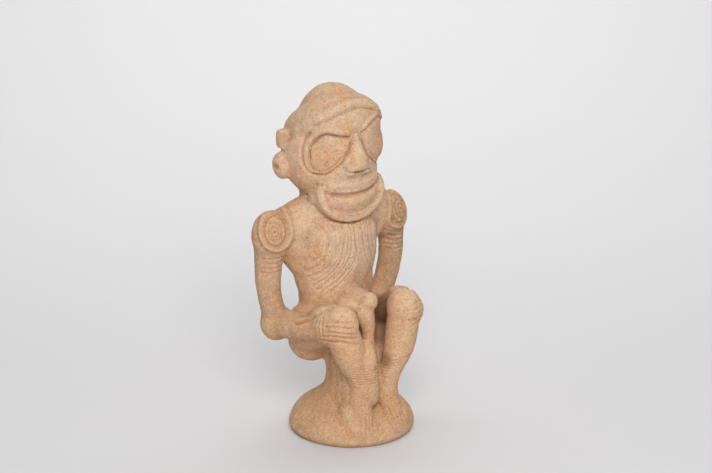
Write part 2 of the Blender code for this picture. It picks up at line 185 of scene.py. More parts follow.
def add_column(block):
    """Adds the column that carries the body, the shaft before it and the webs to the shins."""
    column = [(0, 4, 30), (0, 3, 66), (0, 18, 104)]
    add_limb(block, column, [31, 28.5, 32], squash=(0.86, 1, 1))
    shaft = [
        (0, -22, 28), (0, -27, 54), (0, -28, 86), (1, -28, 106),
        (1, -27, 118), (-2, -25, 132), (-2, -23, 142),
    ]
    add_limb(block, shaft, [17, 15, 11, 7, 8.5, 11, 9])
    add_ellipsoid(block, (0, 14, 108), (37, 27, 25))  # back wall of the hollow between the thighs
    shin_web = [(-8, -38, 42), (-11, -43, 66), (-15, -45, 84), (-16, -45, 94), (-10, -37, 106)]
    add_limb(block, shin_web, [14, 13, 13.5, 13, 8])
    add_limb(block, [(-18, -8, 38), (-16, -10, 62), (-18, -5, 86)], [15, 12.5, 12])
    add_limb(block, [(-19, -20, 36), (-17, -20, 62), (-20, -17, 84), (-23, -8, 104)], [14, 12, 12, 12])
    add_limb(block, [(-20, -31, 32), (-18, -30, 60), (-22, -29, 84)], [12, 11.5, 10.5])
    add_limb(block, [(14, -18, 34), (16, -25, 54), (18, -14, 74), (18, 0, 96)], [15, 13.5, 11, 11])
    add_limb(block, [(22, -8, 74), (31, -2, 92), (36, 6, 112)], [11, 13, 12.5])  # behind the left shin


def add_torso(block):
    for s in SIDES.values():
        add_ellipsoid(block, (s * 21, 41, 98), (24, 27, 28))  # buttock
        add_ellipsoid(block, (s * 23.5, 42, 86), (22.5, 26, 20.5))
        add_ellipsoid(block, (s * 28, 34, 109), (26, 25, 20))  # hip
    add_limb(block, [(-58, 37, 220), (-47, 37, 200), (-28, 36, 168)], [21, 21, 18])  # flanks
    add_limb(block, [(60, 37, 221), (47, 37, 209), (30, 36, 184)], [20, 20, 16])
    for s in SIDES.values():
        add_ellipsoid(block, (s * 25, 60, 204), (19, 13, 27), (0, s * 12, 0))  # shoulder blade
    trunk = [
        (1, 36, 84), (1, 35, 102), (2, 34, 130), (2, 33, 147), (0, 33, 162),
        (0, 33, 177), (0, 34, 195), (0, 35, 214), (0, 36, 236),
    ]
    add_limb(block, trunk, [24, 33, 34, 35.5, 37.5, 40.5, 41, 39.5, 26], squash=(1.18, 1, 1))
    add_ellipsoid(block, (0, 12, 132), (30, 26, 17), (-6, 0, 0))  # lap
    add_ellipsoid(block, (-11, -13, 140), (13, 15, 8.5))


def add_shoulders(block):
    yoke = [(-71, 38, 212), (-38, 35, 220), (0, 36, 228), (38, 37, 226), (70, 38, 213)]
    add_limb(block, yoke, [20, 24, 26, 25, 20])
    add_ellipsoid(block, (-72, 37, 210), (22, 21, 26))
    add_ellipsoid(block, (72, 38, 211), (21, 21, 25))
    add_limb(block, [(0, 38, 225), (1, 38, 262)], [32, 34])  # neck


def add_tip(block):
    """Adds the rounded end of the shaft where it comes out of the lap."""
    add_limb(block, [(0, 10, 138), (0, -12, 143), (1, -26, 144)], [15, 12, 9])
    add_ellipsoid(block, (2, -29, 144), (9, 9.5, 10))


def add_leg(block, side):
    s = SIDES[side]
    rise = KNEE_RISE[side]
    out = KNEE_OUT[side]
    spread = THIGH_SPREAD[side]
    slender = THIGH_SLENDER[side]
    thigh = [
        (s * 26, 36, 104),
        (s * (32 + spread), 8, 115 + rise / 2),
        (s * (out + spread), -26, 127 + rise / 2),
    ]
    add_limb(block, thigh, [29, 25 - 2 * slender, 20 - 2 * slender])
    add_ellipsoid(block, (s * out, -40, 129 + rise), (17.5 + slender / 3, 19, 21.5))  # knee
    shin = [
        (s * out, -40, 124 + rise), (s * 31, -42, 97), (s * 18, -42, 62),
        (s * 17, -41, 42), (s * 19, -48, 24),
    ]
    add_limb(block, shin, [17.5, 16.5, 11, 12, 11])
    add_ellipsoid(block, (s * 20, -41, 26), (19, 13, 25), (-46, 0, 0))  # foot on the flare


def add_arm(block, side):
    s = SIDES[side]
    rise = KNEE_RISE[side]
    out = ARM_OUT[side]
    arm = [(s * out, 38, 200), (s * out, 41, 155), (s * 65, 44, 114)]
    add_limb(block, arm, ARM_RADII[side])
    add_ellipsoid(block, (s * 66, 42, 115), (17, 17, 19.5))  # elbow
    forearm = [(s * 63, 40, 115), (s * 58, 12, 117), (s * 47, -26, 124 + rise / 2)]
    add_limb(block, forearm, [16, 14, 13])
    hand = (s * (45 + THIGH_SPREAD[side] / 2), -26, 126 + rise)
    add_ellipsoid(block, hand, (17 - THIGH_SLENDER[side], 30, 20))


def add_head(block):
    add_ellipsoid(block, (-1, 1, 0), (51.5, 47, 47), parent=HEAD)
    add_ellipsoid(block, (6, -2, 27), (38, 41, 45), parent=HEAD)
    add_ellipsoid(block, (2.5, -16, 34), (46, 40, 30), parent=HEAD)  # brow
    add_ellipsoid(block, (1.5, -10, 10), (50.5, 42, 40), parent=HEAD)
    for s in SIDES.values():
        add_ellipsoid(block, (s * 14, 6, 26), (31, 31, 25), parent=HEAD)  # temple
        add_ellipsoid(block, (s * 17, 11, 33), (17, 18, 17.5), parent=HEAD)
        add_limb(block, [(s * 22, 4, 33), (s * 22, -14, 31)], [23, 24], parent=HEAD)
    face = [(0, -20, -30), (0, -24, 5), (1, -26, 34)]
    add_limb(block, face, [26, 28, 29], parent=HEAD, squash=(1.4, 1, 1))
    add_ellipsoid(block, (0, -19, -39), (41, 28, 29), parent=HEAD)  # muzzle
    add_limb(block, [(0, -47, 24), (0, -52, -5), (0, -51, -11)], [4.5, 6.5, 8.5], parent=HEAD)  # nose
    for s in SIDES.values():
        add_ellipsoid(block, (s * 8.5, -50, -12), (6, 6.5, 6), parent=HEAD)  # nostril
        add_limb(block, [(s * 46.5, 12, 13), (s * 45.5, 11, 31.5)], [9, 8.5], parent=HEAD)  # ear
        add_ellipsoid(block, (s * 52, 11, -4), (10, 13, 14.5), parent=HEAD)  # ear spool


def fused(block):
    """Fuses the overlapping masses into one skin and wears its creases down."""
    mesh = bpy.data.meshes.new("block")
    block.to_mesh(mesh)
    block.free()
    stone = bpy.data.objects.new("block", mesh)
    bpy.context.collection.objects.link(stone)
    remesh = stone.modifiers.new("fuse", "REMESH")
    remesh.mode = "VOXEL"
    remesh.voxel_size = VOXEL
    smooth = stone.modifiers.new("wear", "SMOOTH")
    smooth.factor = 0.5
    smooth.iterations = round(2 * (SOFTENING / VOXEL) ** 2)
    graph = bpy.context.evaluated_depsgraph_get()
    skin = bpy.data.meshes.new_from_object(stone.evaluated_get(graph))
    bpy.data.objects.remove(stone)
    return skin


def softened(path, closed, steps=8):
    """A smooth line through the path's points."""
    points = np.array(path, dtype=float)
    if closed:
        points = np.vstack([points[-1:], points, points[:2]])
    else:
        points = np.vstack([2 * points[0] - points[1], points, 2 * points[-1] - points[-2]])
    t = np.linspace(0, 1, steps, endpoint=False)[:, None]
    pieces = []
    for a, b, c, d in zip(points, points[1:], points[2:], points[3:]):
        slope = (c - a) * t
        bend = (2 * a - 5 * b + 4 * c - d) * t**2
        twist = (3 * b - a - 3 * c + d) * t**3
        pieces.append(0.5 * (2 * b + slope + bend + twist))
    pieces.append(points[-2][None])
    return np.vstack(pieces)


def distances(places, line):
    """How far each place is from the line, and whether it is inside it."""
    nearest = np.full(len(places), np.inf)
    inside = np.zeros(len(places), dtype=bool)
    x, z = places.T
    for (x0, z0), (x1, z1) in zip(line, line[1:]):
        dx, dz = x1 - x0, z1 - z0
        share = np.clip(((x - x0) * dx + (z - z0) * dz) / max(dx * dx + dz * dz, 1e-9), 0, 1)
        nearest = np.minimum(nearest, np.hypot(x - x0 - share * dx, z - z0 - share * dz))
        if z0 != z1:
            inside ^= ((z0 > z) != (z1 > z)) & (x < x0 + (z - z0) * dx / (z1 - z0))
    return nearest, inside


def carve(skin, frame, path, profile, closed=False, reach=(-60, 60), facing=0.25):
    """Moves the skin along its normals by the profile's height at each distance from a path.

    The path is drawn in the frame's XZ plane. Inside a closed path distances are negative.
    Reach is the span of the frame's Y in which the skin is carved, and facing is how much
    the skin has to face the frame's -Y side; None carves it on every side.
    """
    inverse = np.array(frame.inverted())
    local = (skin["places"] @ inverse[:3, :3].T + inverse[:3, 3]) / PART
    near = (local[:, 1] > reach[0]) & (local[:, 1] < reach[1])
    margin = max(abs(profile[0][0]), abs(profile[-1][0]))
    line = softened(path, closed)
    near &= (local[:, 0] > line[:, 0].min() - margin) & (local[:, 0] < line[:, 0].max() + margin)
    near &= (local[:, 2] > line[:, 1].min() - margin) & (local[:, 2] < line[:, 1].max() + margin)
    away, inside = distances(local[near][:, [0, 2]], line)
    if closed:
        away = np.where(inside, -away, away)
    height = np.interp(away, [d for d, h in profile], [h for d, h in profile])
    normals = skin["normals"][near]
    if facing is not None:
        outward = -(normals @ inverse[:3, :3].T)[:, 1]
        height = height * np.clip((outward - facing) / 0.25 + 0.5, 0, 1)
    skin["places"][near] += normals * (height * PART)[:, None]


def groove(width, depth):
    """The profile of a groove of this half width and depth, sharpened."""
    width /= SHARPNESS
    depth *= SHARPNESS
    return [(-width, 0), (-width * 0.4, -depth * 0.75), (0, -depth), (width * 0.4, -depth * 0.75), (width, 0)]


def ridge(width, height):
    return groove(width, -height)


def mirrored(path, side):
    """A path drawn on the right half, as it lies on this side."""
    return [(-SIDES[side] * x, z) for x, z in path]


def oval(wide, tall):
    """Points round an oval of this half width and half height."""
    return [(wide * math.cos(a), tall * math.sin(a)) for a in np.linspace(0, 2 * math.pi, 12, False)]


# The spans of a frame's Y in which lines are carved.
HEAD_FRONT = (-70, -5)
EYES_AND_NOSE = (-75, -20)
BREAST = (-20, 34)
HAND = (-20, 22)
DISC = (-25, 22)

EYE_TURN = 30  # how far the eyes are turned out from the face

# Half width, half height and depth of each ring round the shoulder; the rim stands out. The
# fine ones have one depth.
DISC_RINGS = [(15.5, 20, -1.4), (11.5, 15.5, 1.7), (7.7, 10, 1.2), (4, 5.4, 1)]
FINE_RINGS = [(5.8, 7.6), (9.6, 12.6), (19.5, 25)]

# How deep lines are cut on each side. The left side is more worn.
LID_DEPTH = {"right": 2.4, "left": 0.6}
RIB_DEPTH = {"right": 0.9, "left": 0.6}
FINE_RIB_DEPTH = {"right": 0.6, "left": 0.3}
FINGER_DEPTH = {"right": 1.4, "left": 0.7}
WRIST_DEPTH = {"right": 0.8, "left": 0.4}
FINE_FINGER_DEPTH = {"right": 0.5, "left": 0.25}
RIBS_LEFT_OVER = {"right": 6, "left": 3}

# Carved lines, drawn on the right half in the frames named for them.
EYE_LIDS = {
    "right": [
        (19, 22.5), (11, 24), (4, 26.5), (-2, 28), (-9, 26.5),
        (-15, 22.5), (-20, 18), (-22, 12), (-23, 4),
    ],
    "left": [
        (21, 25), (14, 29.5), (5, 33), (-5, 35.5), (-14, 33),
        (-20, 27), (-23, 18), (-24, 10), (-24, 4),
    ],
}
UNDER_EYE = [
    (-24, -5), (-20.5, -11.5), (-12.5, -13), (-4, -11), (5, -6),
    (11, -1.5), (15, 4), (18, 10), (20, 16),
]
EYE_RIM = [(-20, 30), (-26.5, 22.5), (-29.5, 14), (-30, 5), (-28.5, -3), (-24, -10), (-17, -12.5)]
EYE_INNER = [(-23, 5), (-22.5, -1), (-19, -6.5), (-11, -9), (-2, -6.5), (5, -2), (9, 2)]
EYE_HEIGHTS = [(-14, 1.6), (-9, 1.2), (-5, 0.6), (-2, -0.4), (0, -0.7), (2, 0)]
NOSE = [
    (0, 25), (-5, 17), (-9, 8), (-13, 0), (-14.5, -7), (-12, -11.5),
    (0, -12.5), (12, -11.5), (14.5, -7), (13, 0), (9, 8), (5, 17),
]
NOSE_HEIGHTS = [(-12, 5), (-6, 3), (-2, 1.4), (0, 0), (1, -0.7), (2.6, 0)]
LIP_LINE = [(-32, -30), (-26, -31.5), (-13, -34), (0, -34.5), (13, -34), (26, -31.5), (32, -30)]
MOUTH = LIP_LINE + [
    (32.5, -38), (30, -46), (23, -52.5), (12, -57.5), (0, -59.5),
    (-12, -57.5), (-23, -52.5), (-30, -46), (-32.5, -38),
]
MOUTH_HEIGHTS = [(-12, -1.2), (-6, -2), (-2, -2.3), (-0.7, -1.6), (0.6, 0)]
RING = [(-34, -27), (-36, -37), (-33.5, -46), (-27, -54), (-20, -59), (-10, -62.5), (0, -64)]
RING += [(-x, z) for x, z in RING[-2::-1]]
CHIN = [(-38.5, -44), (-36.5, -49), (-30, -56.5), (-22, -62.5), (-10, -66.5), (0, -68)]
CHIN += [(-x, z) for x, z in CHIN[-2::-1]]
BAND_LOWER = [(-37, 38), (-32, 40.5), (-20, 45), (-8, 48.5), (4, 50), (15, 48.5), (28, 44), (40, 37)]
BAND_UPPER = [(-24, 54), (-12, 57.5), (2, 59.5), (13, 59), (24, 57), (34, 52)]
BAND = [(-32, 45), (-20, 50), (-8, 53.5), (4, 55), (15, 54), (28, 50), (40, 43)]
BAND_BEHIND = [(-44, 30), (-24, 34), (0, 35), (24, 34), (44, 30)]
RIBS = [
    [(-32, 221), (-28.5, 214), (-27, 205), (-28, 198), (-30, 191), (-32, 185), (-36, 180.5), (-43, 172)],
    [(-21.5, 221), (-20, 214), (-20.5, 206), (-21, 197), (-23, 188), (-27, 180), (-32, 174), (-41, 166)],
    [(-12, 219), (-11, 209), (-13, 197), (-15, 188), (-18.5, 179), (-24, 171), (-30, 164), (-37, 156)],
    [(-3, 215), (-3, 204), (-4, 195), (-7, 185), (-11.5, 177), (-17.5, 170), (-24, 164), (-34, 152)],
    [(1, 187), (-3, 178), (-8.5, 172), (-14, 166), (-21, 159), (-29, 152)],
]
FINE_RIBS = [
    [(-36, 224), (-33, 214), (-32.5, 200), (-35, 190), (-40, 182)],
    [(-25, 221), (-24, 208), (-24.5, 195), (-27.5, 185), (-34, 177), (-42, 169)],
    [(-16, 220), (-15.5, 208), (-17, 194), (-20.5, 183), (-28, 172), (-39, 160)],
    [(-7, 217), (-7, 206), (-8.5, 193), (-13, 181), (-21, 170), (-35, 154)],
    [(0, 214), (0, 200), (-1, 190), (-5.5, 180), (-13, 171), (-24, 161), (-32, 152)],
    [(2, 180), (-4, 171.5), (-11, 162.5), (-18, 155), (-25, 149)],
]
CREASE = [(-24, -2), (-15.5, -1), (-8.5, 1), (-1.5, 4), (6, 8.5), (15.5, 10.5), (22, 11.5)]
FINGERS = [
    [(-15, 7.5), (0, 10), (13, 9.5)],
    [(-14, 3.5), (0, 5.5), (14, 3.5)],
    [(-15, -2), (-4, -0.5), (15, -3)],
    [(-16, -7), (-4, -5), (17, -8.5)],
    [(-21, -13), (-10, -11.5), (3, -11), (19, -14.5)],
]
FINE_FINGERS = [
    [(-13, 10), (0, 12.5), (10, 12)],
    [(-13, 5.5), (0, 7.8), (13, 6.5)],
    [(-14, 1), (0, 3), (14, 1)],
    [(-15, -4.5), (-4, -3), (16, -6)],
    [(-17, -10), (-4, -8.5), (18, -12)],
]


def disc_frame(side):
    """The frame of the ringed disc on the shoulder."""
    s = SIDES[side]
    return frame_at((s * 75, 25, 219), (0, s * 14, s * 40))


def hand_frame(side):
    """The frame of the hand that lies over the knee."""
    s = SIDES[side]
    return frame_at((s * 48, -48, 128 + KNEE_RISE[side]), (0, 0, s * 40))


def carve_eye(skin, side):
    """Cuts an eye with its lid line above, a rim round its outer side and the brow over it."""
    frame = frame_at((0, 0, 0), (0, 0, SIDES[side] * EYE_TURN), HEAD)
    span = {"reach": EYES_AND_NOSE, "facing": 0.1}
    lid = EYE_LIDS[side]
    carve(skin, frame, mirrored(lid + UNDER_EYE, side), EYE_HEIGHTS, closed=True, **span)
    carve(skin, frame, mirrored(lid, side), groove(2.2, LID_DEPTH[side]), **span)
    carve(skin, frame, mirrored(UNDER_EYE[1:], side), groove(2, 1.5), **span)
    carve(skin, frame, mirrored(EYE_INNER, side), groove(2.6, 0.7), **span)
    carve(skin, frame, mirrored(EYE_RIM, side), groove(2.6, 1.3), **span)
    carve(skin, frame, mirrored([(x - 1, z + 5) for x, z in lid[:7]], side), ridge(5, 1.4), **span)


def carve_band(skin):
    """Raises the band over the brow between its two grooves."""
    carve(skin, HEAD, BAND, ridge(6, 1), reach=(-70, -10))
    carve(skin, HEAD, BAND_LOWER, groove(2.8, 1.5), reach=(-70, 5))
    carve(skin, HEAD, BAND_UPPER, groove(2.8, 1.1), reach=(-70, 5))


def carve_mouth(skin):
    """Sinks the mouth, parts its lips and raises the ring round it."""
    carve(skin, HEAD, [(-27, -25), (0, -27), (27, -25)], ridge(8, 1.6), reach=HEAD_FRONT, facing=0.1)
    carve(skin, HEAD, MOUTH, MOUTH_HEIGHTS, closed=True, reach=HEAD_FRONT, facing=0)
    lips = [(x, z - 3) for x, z in LIP_LINE[1:-1]]
    carve(skin, HEAD, lips, groove(4, 2.6), reach=HEAD_FRONT, facing=0)
    carve(skin, HEAD, CHIN, groove(3, 1.8), reach=HEAD_FRONT, facing=-0.3)
    carve(skin, HEAD, RING, ridge(4.2, 3), reach=HEAD_FRONT, facing=-0.1)


def carve_face(skin):
    carve_band(skin)
    for side in SIDES:
        carve_eye(skin, side)
    carve(skin, HEAD, NOSE, NOSE_HEIGHTS, closed=True, reach=EYES_AND_NOSE, facing=0)
    under_nose = [(-12, -13.5), (0, -14), (12, -13.5)]
    carve(skin, HEAD, under_nose, groove(2.2, 1.8), reach=EYES_AND_NOSE, facing=0)
    carve_mouth(skin)


def carve_ribs(skin, side, ribs, profile):
    for rib in ribs[:RIBS_LEFT_OVER[side]]:
        carve(skin, Matrix(), mirrored(rib, side), profile, reach=BREAST, facing=0.1)


def carve_hand(skin, side):
    """Cuts the gaps between the fingers and the line across the knuckles."""
    s = SIDES[side]
    line = groove(1.9, FINGER_DEPTH[side])
    for finger in FINGERS:
        carve(skin, hand_frame(side), mirrored(finger, side), line, reach=HAND)
    carve(skin, hand_frame(side), [(s * 17, 11), (s * 18, 1), (s * 17, -8)], line, reach=HAND)


def carve_toes(skin, side):
    s = SIDES[side]
    for toe in range(5):
        x = s * (5 + 5 * toe)
        line = [(x, 34), (x + s * 2, 26), (x + s * 4, 16)]
        carve(skin, Matrix(), line, groove(2, 0.6), reach=(-70, -38), facing=0.1)


def carve_side(skin, side):
    s = SIDES[side]
    for wide, tall, depth in DISC_RINGS:
        ring = oval(wide, tall)
        carve(skin, disc_frame(side), ring, groove(2.6, depth), closed=True, reach=DISC, facing=0.1)
    carve_ribs(skin, side, RIBS, groove(2.4, RIB_DEPTH[side]))
    carve_hand(skin, side)
    spool = frame_at((s * 62, 11, -4), (0, 0, s * 90), HEAD)
    carve(skin, spool, [(-3, 0), (0, 0), (3, 0)], groove(5, 2.6), reach=(-20, 14))
    lap = frame_at((s * 50, -15, 130), (-30, 0, s * 35))
    carve(skin, lap, mirrored(CREASE, side), groove(3.4, 2.2), reach=(-40, 30), facing=-0.3)
    carve_toes(skin, side)


def carve_middle(skin):
    """Cuts the breast line, the line of the spine and the band's groove behind the head."""
    carve(skin, Matrix(), [(1, 216), (1.5, 203), (2.5, 192)], groove(2, 1.3), reach=(-20, 10))
    back = frame_at((0, 0, 0), (0, 0, 180))
    carve(skin, back, [(0, 222), (0, 165), (0, 112)], groove(8, 2), reach=(-90, -30))
    back_of_head = frame_at((0, 0, 0), (0, 0, 180), HEAD)
    carve(skin, back_of_head, BAND_BEHIND, groove(3.4, 1.8), reach=(-70, -4))


def carve_bands(skin, side):
    """Cuts the fine bands round the upper arm and the ankle."""
    s = SIDES[side]
    arm = frame_at((s * 75, 36, 184))
    for band in range(4):
        height = 6 - 5 * band
        line = [(-s * 8, height), (0, height - 1), (s * 13, height)]
        carve(skin, arm, line, groove(1.4, 0.7), reach=(-30, 30), facing=None)
    ankle = frame_at((s * 22, -42, 76))
    for band in range(7):
        height = 9 - 3 * band
        line = [(-s * 14, height - 1), (0, height - 1), (s * 14, height + 1)]
        carve(skin, ankle, line, groove(1.3, 0.7), reach=(-16, 14), facing=0)


def finely_carve_hand(skin, side):
    s = SIDES[side]
    wrist = [(s * 20.5, 9), (s * 21.5, 1), (s * 20.5, -8)]
    carve(skin, hand_frame(side), wrist, groove(1.5, WRIST_DEPTH[side]), reach=HAND)
    for line in FINE_FINGERS:
        profile = groove(1.1, FINE_FINGER_DEPTH[side])
        carve(skin, hand_frame(side), mirrored(line, side), profile, reach=HAND)


def finely_carve_disc(skin, side):
    carve(skin, disc_frame(side), [(-0.5, 0.5), (0.5, -0.5)], groove(2.2, 1.4), reach=DISC)
    for wide, tall in FINE_RINGS:
        ring = oval(wide, tall)
        carve(skin, disc_frame(side), ring, groove(1.3, 0.55), closed=True, reach=DISC, facing=0.1)


def finely_carve_side(skin, side):
    """Adds the finer carved lines that the solid leaves out."""
    carve_ribs(skin, side, FINE_RIBS, groove(1.5, FINE_RIB_DEPTH[side]))
    carve_bands(skin, side)
    finely_carve_hand(skin, side)
    finely_carve_disc(skin, side)


def roughen(skin):
    """Leaves the skin as uneven as hand-worked stone."""
    places = skin["places"]
    wave = np.array([sum(noise.noise(Vector(p) * scale) * high for scale, high in WAVES) for p in places])
    places += skin["normals"] * (wave * PART)[:, None]


def point_values(mesh, name):
    """The places or the normals of the mesh's points, a row for each."""
    values = np.empty(len(mesh.vertices) * 3)
    mesh.vertices.foreach_get(name, values)
    return values.reshape(-1, 3)


def place_points(mesh, places):
    mesh.vertices.foreach_set("co", places.ravel())
    mesh.update()


def carve_all(mesh):
    """Cuts the face, joints, ribs, hands and toes into the skin."""
    skin = {"places": point_values(mesh, "co"), "normals": point_values(mesh, "normal")}
    carve_face(skin)
    for side in SIDES:
        carve_side(skin, side)
    carve_middle(skin)
    for side in SIDES:
        finely_carve_side(skin, side)
    roughen(skin)
    place_points(mesh, skin["places"])


def thinned(mesh):
    """Thins the skin out to its triangle budget."""
    triangles = 2 * len(mesh.polygons)
    if triangles <= TRIANGLES:
        return mesh
    stone = bpy.data.objects.new("stone", mesh)
    bpy.context.collection.objects.link(stone)
    thin = stone.modifiers.new("thin", "DECIMATE")
    thin.ratio = TRIANGLES / triangles
    thin.use_collapse_triangulate = True
    graph = bpy.context.evaluated_depsgraph_get()
    result = bpy.data.meshes.new_from_object(stone.evaluated_get(graph))
    bpy.data.objects.remove(stone)
    return result


def saw_flat(mesh):
    """Cuts the underside off flat at the ground."""
    ground = bmesh.new()
    ground.from_mesh(mesh)
    everything = ground.verts[:] + ground.edges[:] + ground.faces[:]
    down = (0, 0, -1)
    cut = bmesh.ops.bisect_plane(ground, geom=everything, plane_co=(0, 0, 0), plane_no=down, clear_outer=True)
    rim = [item for item in cut["geom_cut"] if isinstance(item, bmesh.types.BMEdge)]
    underside = bmesh.ops.contextual_create(ground, geom=rim)["faces"]
    bmesh.ops.recalc_face_normals(ground, faces=ground.faces[:])
    for face in ground.faces:
        face.smooth = face not in underside
    ground.to_mesh(mesh)
    ground.free()


def fit_box(mesh):
    """Stretches the skin by the last fraction of a millimetre to fill the solid's own box."""
    places = point_values(mesh, "co")
    low, high = places.min(axis=0), places.max(axis=0)
    goal_low, goal_high = np.array(node_low), np.array(node_high)
    place_points(mesh, goal_low + (places - low) * (goal_high - goal_low) / (high - low))


def mark_hollows(mesh):
    """Stores how deep each point lies below its surroundings, for the stone's colour and the painted shade in
    its hollows.
    """
    places = point_values(mesh, "co")
    normals = point_values(mesh, "normal")
    count = len(places)
    edges = np.empty(len(mesh.edges) * 2, dtype=np.int64)
    mesh.edges.foreach_get("vertices", edges)
    a, b = edges.reshape(-1, 2).T
    neighbours = np.bincount(a, minlength=count) + np.bincount(b, minlength=count)
    level = places.copy()
    for _ in range(LEVELLING_ROUNDS):
        total = np.stack([
            np.bincount(a, level[b, axis], count) + np.bincount(b, level[a, axis], count) for axis in range(3)
        ], axis=1)
        level = 0.5 * level + 0.5 * total / np.maximum(neighbours, 1)[:, None]
    depth = ((level - places) * normals).sum(axis=1) / PART
    hollow = mesh.attributes.new("hollow", "FLOAT", "POINT")
    hollow.data.foreach_set("value", depth.astype(np.float32))


class Nodes:
    """Adds shader nodes to one material and links them."""

    def __init__(self, name):
        self.material = bpy.data.materials.new(name)
        self.material.use_nodes = True
        self.tree = self.material.node_tree
        self.surface = self.tree.nodes["Principled BSDF"]
        self.place = self.add("ShaderNodeTexCoord").outputs["Object"]
        self.axes = self.add("ShaderNodeSeparateXYZ", {"Vector": self.place}).outputs

    def add(self, kind, inputs=None, **settings):
        node = self.tree.nodes.new(kind)
        for name, value in settings.items():
            setattr(node, name, value)
        self.fill(node, (inputs or {}).items())
        return node

    def fill(self, node, inputs):
        """Links each input to a socket or sets it to a constant."""
        for key, value in inputs:
            if isinstance(value, bpy.types.NodeSocket):
                self.tree.links.new(value, node.inputs[key])
            else:
                node.inputs[key].default_value = value

    def noise(self, scale, detail=2, roughness=0.5, distortion=0):
        inputs = {"Vector": self.place, "Scale": scale, "Detail": detail}
        inputs.update({"Roughness": roughness, "Distortion": distortion})
        return self.add("ShaderNodeTexNoise", inputs).outputs["Fac"]

    def spread(self, value, low, high, to_low=0, to_high=1):
        inputs = {"Value": value, "From Min": low, "From Max": high, "To Min": to_low, "To Max": to_high}
        return self.add("ShaderNodeMapRange", inputs).outputs["Result"]

    def maths(self, operation, first, second=0.0):
        return self.add("ShaderNodeMath", {0: first, 1: second}, operation=operation).outputs[0]

    def tint(self, colour, share, tint):
        """The colour with this share of a tint in it."""
        node = self.add("ShaderNodeMix", data_type="RGBA")
        tint = (*tint, 1)
        colour = (*colour, 1) if isinstance(colour, tuple) else colour
        self.fill(node, ((0, share), (6, colour), (7, tint)))
        return node.outputs[2]

    def tinted_places(self, colour, spots):
        for place, radius, share, tint in spots:
            gap = self.add("ShaderNodeVectorMath", {0: self.place, 1: place}, operation="DISTANCE")
            near = self.spread(gap.outputs["Value"], radius, radius * 0.5, 0, share)
            colour = self.tint(colour, near, tint)
        return colour


# Colours of the stone.
FRESH = (0.60, 0.345, 0.185)
PALER = (0.62, 0.385, 0.235)
BLOOM = (0.60, 0.43, 0.315)
RUST = (0.55, 0.26, 0.11)
# darker tint of hollows and cuts: partly the stone's own colour there, partly painted shade
SUNK = (0.40, 0.21, 0.105)
WORN = (0.70, 0.475, 0.295)
MOTTLE_DARK = (0.33, 0.18, 0.09)
MOTTLE_PALE = (0.74, 0.54, 0.37)
GRAIN_DARK = (0.25, 0.13, 0.06)
GRAIN_PALE = (0.88, 0.70, 0.50)
PORE = (0.16, 0.085, 0.045)
WARM = (0.57, 0.315, 0.17)
PALE = (0.76, 0.50, 0.30)
BROWN = (0.38, 0.22, 0.12)
# painted shade for the deep slots beside the shaft
SLOT_SHADE = (0.13, 0.065, 0.03)

# Tinted regions: axis, where the tint starts and where it is full, its share and the tint.
# They are the outer sides with the arms, painted shade on the left arm, the foot and the crown.
REGIONS = [
    ("sideways", 0.052, 0.068, 0.55, (0.41, 0.23, 0.12)),
    # painted shade on the left arm
    ("X", 0.058, 0.07, 0.6, (0.34, 0.20, 0.11)),
    ("Z", 0.06, 0.035, 0.5, (0.47, 0.25, 0.115)),
    ("Z", 0.295, 0.335, 0.4, (0.42, 0.275, 0.185)),
]

# Tinted places: the smooth warm eyes and shoulder discs, the paler lap, painted light on the temple,
# painted shade on the ear, the browner thigh, and painted shade in the deep slots beside the shaft.
# Place, how far round it, how much of the tint, and the tint.
SPOTS = [
    ((-0.034, -0.003, 0.297), 0.022, 0.7, WARM),
    ((0.026, -0.008, 0.301), 0.022, 0.7, WARM),
    ((-0.082, 0.021, 0.220), 0.019, 0.7, WARM),
    ((0.080, 0.021, 0.219), 0.019, 0.7, WARM),
    ((-0.030, 0.012, 0.143), 0.034, 0.7, PALE),
    # painted light on the temple, which is lit
    ((-0.046, 0.030, 0.312), 0.015, 0.8, PALE),
    # painted shade on the ear, which is in half-shade
    ((-0.057, 0.046, 0.306), 0.012, 0.7, BROWN),
    ((-0.067, -0.004, 0.121), 0.020, 0.5, BROWN),
]
# painted shade in the deep slots beside the shaft: place, how far round it, share and tint
SLOT_SHADE_SPOTS = [
    ((0.028, -0.012, 0.127), 0.024, 0.85, SLOT_SHADE),
    ((0.027, -0.012, 0.103), 0.019, 0.65, SLOT_SHADE),
    ((0.014, -0.043, 0.083), 0.011, 0.5, SLOT_SHADE),
    ((-0.014, -0.016, 0.118), 0.015, 0.8, SLOT_SHADE),
]


def bloomed(stone):
    """Light orange-brown stone with a grey bloom on the breast and head."""
    broad = stone.spread(stone.noise(11, 4, 0.55, 0.4), 0.36, 0.64)
    colour = stone.tint(FRESH, broad, PALER)
    high = stone.spread(stone.axes["Z"], 0.125, 0.155)
    inner = stone.spread(stone.maths("ABSOLUTE", stone.axes["X"]), 0.068, 0.044)
    bloom = stone.spread(stone.noise(30, 4, 0.62), 0.36, 0.66, 0.15, 0.9)
    bloom = stone.maths("MULTIPLY", bloom, stone.maths("MULTIPLY", high, inner))
    return stone.tint(colour, bloom, BLOOM)


